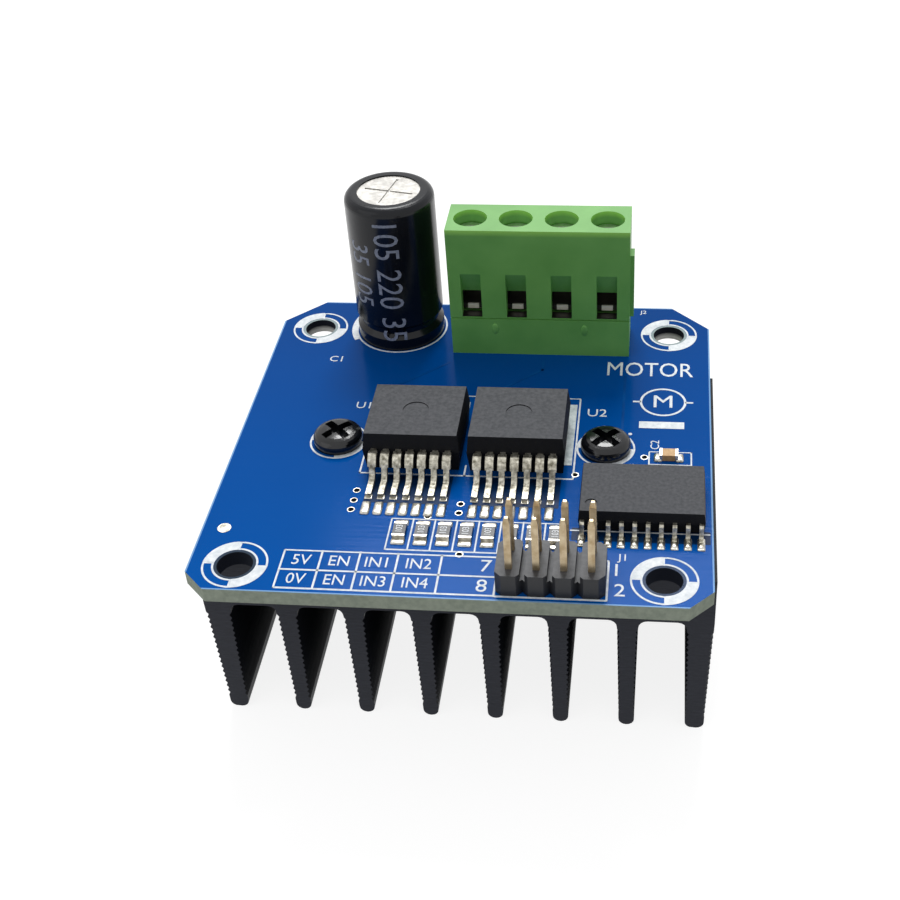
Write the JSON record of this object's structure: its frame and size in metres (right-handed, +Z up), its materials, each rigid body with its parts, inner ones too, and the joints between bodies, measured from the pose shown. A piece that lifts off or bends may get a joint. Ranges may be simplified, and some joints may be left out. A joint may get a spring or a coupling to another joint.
{
  "type": "dc motor driver module",
  "caption": "Square driver board for small DC motors on a black finned heatsink, with a screw terminal block, a pin header and surface-mounted power chips.",
  "frame": {"origin": "on the surface the fin tips stand on, under the centre of the board", "axes": "+Z up through the board, +Y towards the terminal block, +X to the logic chip's side"},
  "size_m": [0.0508, 0.05, 0.0407],
  "materials": {
    "solder_mask": "glossy blue solder mask over glass-fibre laminate",
    "black_anodised": "black anodised extrusion, satin",
    "pad_rubber": "soft matt silicone",
    "black_steel": "black zinc plated, glossy",
    "bare_aluminium": "bare drawn aluminium",
    "black_sleeve": "shrunk glossy sleeve",
    "bung_rubber": "matt rubber",
    "tinned_metal": "matt tin plate",
    "green_plastic": "moulded green polyamide, satin",
    "plated_steel": "bright nickel plate",
    "chip_resin": "matt moulded resin",
    "header_plastic": "moulded black plastic",
    "gold_pins": "thin gold flash over brass",
    "resistor_black": "glazed black overcoat",
    "tan_ceramic": "fired tan ceramic",
    "solder": "reflowed solder, bright"
  },
  "bodies": {
    "root": {"circuit_board": "solder_mask", "heatsink": "black_anodised", "thermal_pad": "pad_rubber", "heatsink_screws": "black_steel", "capacitor_can": "bare_aluminium", "capacitor_sleeve": "black_sleeve", "capacitor_bung": "bung_rubber", "capacitor_leads": "tinned_metal", "terminal_housing": "green_plastic", "terminal_base": "green_plastic", "terminal_contacts": "tinned_metal", "driver_body_left": "chip_resin", "driver_body_right": "chip_resin", "driver_tab_left": "tinned_metal", "driver_tab_right": "tinned_metal", "driver_leads_left": "tinned_metal", "driver_leads_right": "tinned_metal", "logic_chip_body": "chip_resin", "logic_chip_leads": "tinned_metal", "header_housing": "header_plastic", "header_pins": "gold_pins", "resistor_1": "resistor_black", "resistor_2": "resistor_black", "resistor_3": "resistor_black", "resistor_4": "resistor_black", "resistor_5": "resistor_black", "resistor_6": "resistor_black", "resistor_7": "resistor_black", "resistor_8": "resistor_black", "resistor_ends": "solder", "ceramic_capacitor_body": "tan_ceramic", "ceramic_capacitor_ends": "solder", "solder_joints": "solder"},
    "screw_1": {"clamp_screw_1": "plated_steel"},
    "cage_1": {"wire_cage_1": "plated_steel"},
    "screw_2": {"clamp_screw_2": "plated_steel"},
    "cage_2": {"wire_cage_2": "plated_steel"},
    "screw_3": {"clamp_screw_3": "plated_steel"},
    "cage_3": {"wire_cage_3": "plated_steel"},
    "screw_4": {"clamp_screw_4": "plated_steel"},
    "cage_4": {"wire_cage_4": "plated_steel"}
  },
  "joints": [
    {"name": "screw_1_turn", "type": "hinge", "parent": "root", "child": "screw_1", "pos_m": [-0.00155, 0.01765, 0.0353], "axis": [0, 0, -1], "range_deg": [0, 1440]},
    {"name": "cage_1_lift", "type": "slide", "parent": "root", "child": "cage_1", "axis": [0, 0, 1], "range_m": [0, 0.0017]},
    {"name": "screw_2_turn", "type": "hinge", "parent": "root", "child": "screw_2", "pos_m": [0.00345, 0.01765, 0.0353], "axis": [0, 0, -1], "range_deg": [0, 1440]},
    {"name": "cage_2_lift", "type": "slide", "parent": "root", "child": "cage_2", "axis": [0, 0, 1], "range_m": [0, 0.0017]},
    {"name": "screw_3_turn", "type": "hinge", "parent": "root", "child": "screw_3", "pos_m": [0.00845, 0.01765, 0.0353], "axis": [0, 0, -1], "range_deg": [0, 1440]},
    {"name": "cage_3_lift", "type": "slide", "parent": "root", "child": "cage_3", "axis": [0, 0, 1], "range_m": [0, 0.0017]},
    {"name": "screw_4_turn", "type": "hinge", "parent": "root", "child": "screw_4", "pos_m": [0.01345, 0.01765, 0.0353], "axis": [0, 0, -1], "range_deg": [0, 1440]},
    {"name": "cage_4_lift", "type": "slide", "parent": "root", "child": "cage_4", "axis": [0, 0, 1], "range_m": [0, 0.0017]}
  ],
  "couplings": [
    {"joint": "screw_1_turn", "follows": "cage_1_lift", "rad_per_m": 13963},
    {"joint": "screw_2_turn", "follows": "cage_2_lift", "rad_per_m": 13963},
    {"joint": "screw_3_turn", "follows": "cage_3_lift", "rad_per_m": 13963},
    {"joint": "screw_4_turn", "follows": "cage_4_lift", "rad_per_m": 13963}
  ]
}
